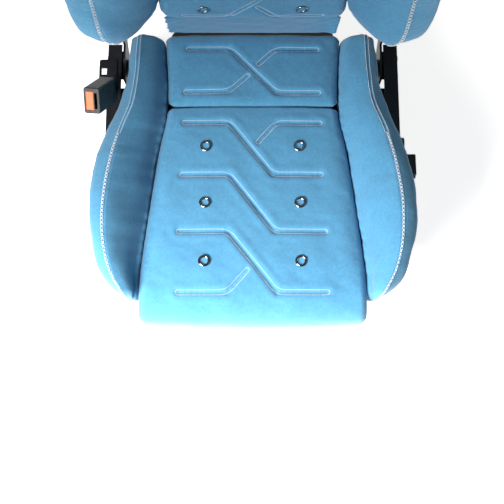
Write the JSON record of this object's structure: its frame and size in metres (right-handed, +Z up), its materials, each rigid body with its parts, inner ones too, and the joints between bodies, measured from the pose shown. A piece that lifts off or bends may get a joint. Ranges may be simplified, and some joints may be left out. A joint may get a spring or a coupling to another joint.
{
  "type": "racing seat",
  "caption": "Reclining racing seat with deep side bolsters, sewn channels, ring eyelets, harness slots, slide rails, recline lever and a belt buckle.",
  "frame": {"origin": "on the floor, at the centre of the four floor bolt holes", "axes": "+Z up, the seat faces -Y, +X is the occupant's left"},
  "size_m": [0.56, 0.8298, 1.0033],
  "materials": {
    "suede": "brushed microfibre suede",
    "foam": "moulded foam",
    "black_steel": "satin black paint",
    "zinc_steel": "zinc plated",
    "chrome": "polished plating",
    "black_plastic": "fine grain",
    "orange_plastic": "satin gloss"
  },
  "bodies": {
    "base": {"rail_lower_left": "zinc_steel", "rail_lower_right": "zinc_steel", "rail_feet": "zinc_steel", "rail_end_stops": "zinc_steel"},
    "seat": {"bar_pivot_pins": "zinc_steel", "buckle_bolt": "zinc_steel", "buckle_bracket": "black_steel", "cushion_bolster_left": "suede", "cushion_bolster_right": "suede", "cushion_core": "foam", "cushion_eyelets": "chrome", "cushion_front_panel": "suede", "cushion_rear_panel": "suede", "frame_bolts": "zinc_steel", "front_cross_tube": "black_steel", "hinge_cover_left": "black_plastic", "hinge_cover_right": "black_plastic", "rail_balls": "zinc_steel", "rail_upper_left": "zinc_steel", "rail_upper_right": "zinc_steel", "rear_cross_tube": "black_steel", "recliner_bracket_left": "black_steel", "recliner_bracket_right": "black_steel", "recliner_housings": "zinc_steel", "release_cable": "black_plastic", "seat_pan": "black_steel", "side_frame_left": "black_steel", "side_frame_right": "black_steel"},
    "backrest": {"lumbar_pad": "suede", "upper_pad": "suede", "back_bolster_left": "suede", "back_bolster_right": "suede", "shoulder_bolster_left": "suede", "shoulder_bolster_right": "suede", "head_pad": "suede", "harness_panel": "black_plastic", "harness_slot_trims": "black_plastic", "back_shell": "black_plastic", "back_side_member_left": "black_steel", "back_side_member_right": "black_steel", "back_cross_tubes": "black_steel", "back_spring_wires": "zinc_steel", "head_frame": "black_steel", "tuck_flap": "suede", "back_eyelets": "chrome", "recliner_discs": "zinc_steel"},
    "slide_bar": {"release_bar": "black_steel", "bar_pivot_blocks": "black_steel", "lock_plates": "zinc_steel"},
    "lever": {"lever_shaft": "zinc_steel", "recline_lever": "black_steel", "lever_grip": "black_plastic", "lever_cap": "chrome"},
    "release_shaft": {"sync_shaft": "zinc_steel"},
    "buckle": {"buckle_strap": "black_steel", "buckle_shell_outboard": "black_plastic", "buckle_shell_inboard": "black_plastic", "button_springs": "zinc_steel", "buckle_latch": "zinc_steel"},
    "button": {"buckle_button": "orange_plastic"}
  },
  "joints": [
    {"name": "seat_slide", "type": "slide", "parent": "base", "child": "seat", "axis": [0, 1, 0], "range_m": [-0.09, 0.09]},
    {"name": "backrest_recline", "type": "hinge", "parent": "seat", "child": "backrest", "pos_m": [0, 0.285, 0.262], "axis": [-1, 0, 0], "range_deg": [-8, 45]},
    {"name": "recline_lever", "type": "hinge", "parent": "seat", "child": "lever", "pos_m": [0.257, 0.06, 0.138], "axis": [-1, 0, 0], "range_deg": [0, 20], "stiffness_Nm_per_rad": 1, "springref_deg": -11.46},
    {"name": "shaft_turn", "type": "hinge", "parent": "seat", "child": "release_shaft", "pos_m": [0, 0.285, 0.262], "axis": [-1, 0, 0], "range_deg": [0, 20]},
    {"name": "slide_release", "type": "hinge", "parent": "seat", "child": "slide_bar", "pos_m": [0, -0.096, 0.074], "axis": [-1, 0, 0], "range_deg": [0, 12], "stiffness_Nm_per_rad": 3, "springref_deg": -11.46},
    {"name": "buckle_swivel", "type": "hinge", "parent": "seat", "child": "buckle", "pos_m": [-0.239, 0.155, 0.1805], "axis": [1, 0, 0], "range_deg": [-26, 3]},
    {"name": "button_press", "type": "slide", "parent": "buckle", "child": "button", "axis": [0.225, 0.5163, -0.8263], "range_m": [0, 0.005], "stiffness_N_per_m": 800, "springref_m": -0.002, "deforming": ["button_springs"]}
  ],
  "couplings": [
    {"joint": "shaft_turn", "follows": "recline_lever", "ratio": 1}
  ]
}
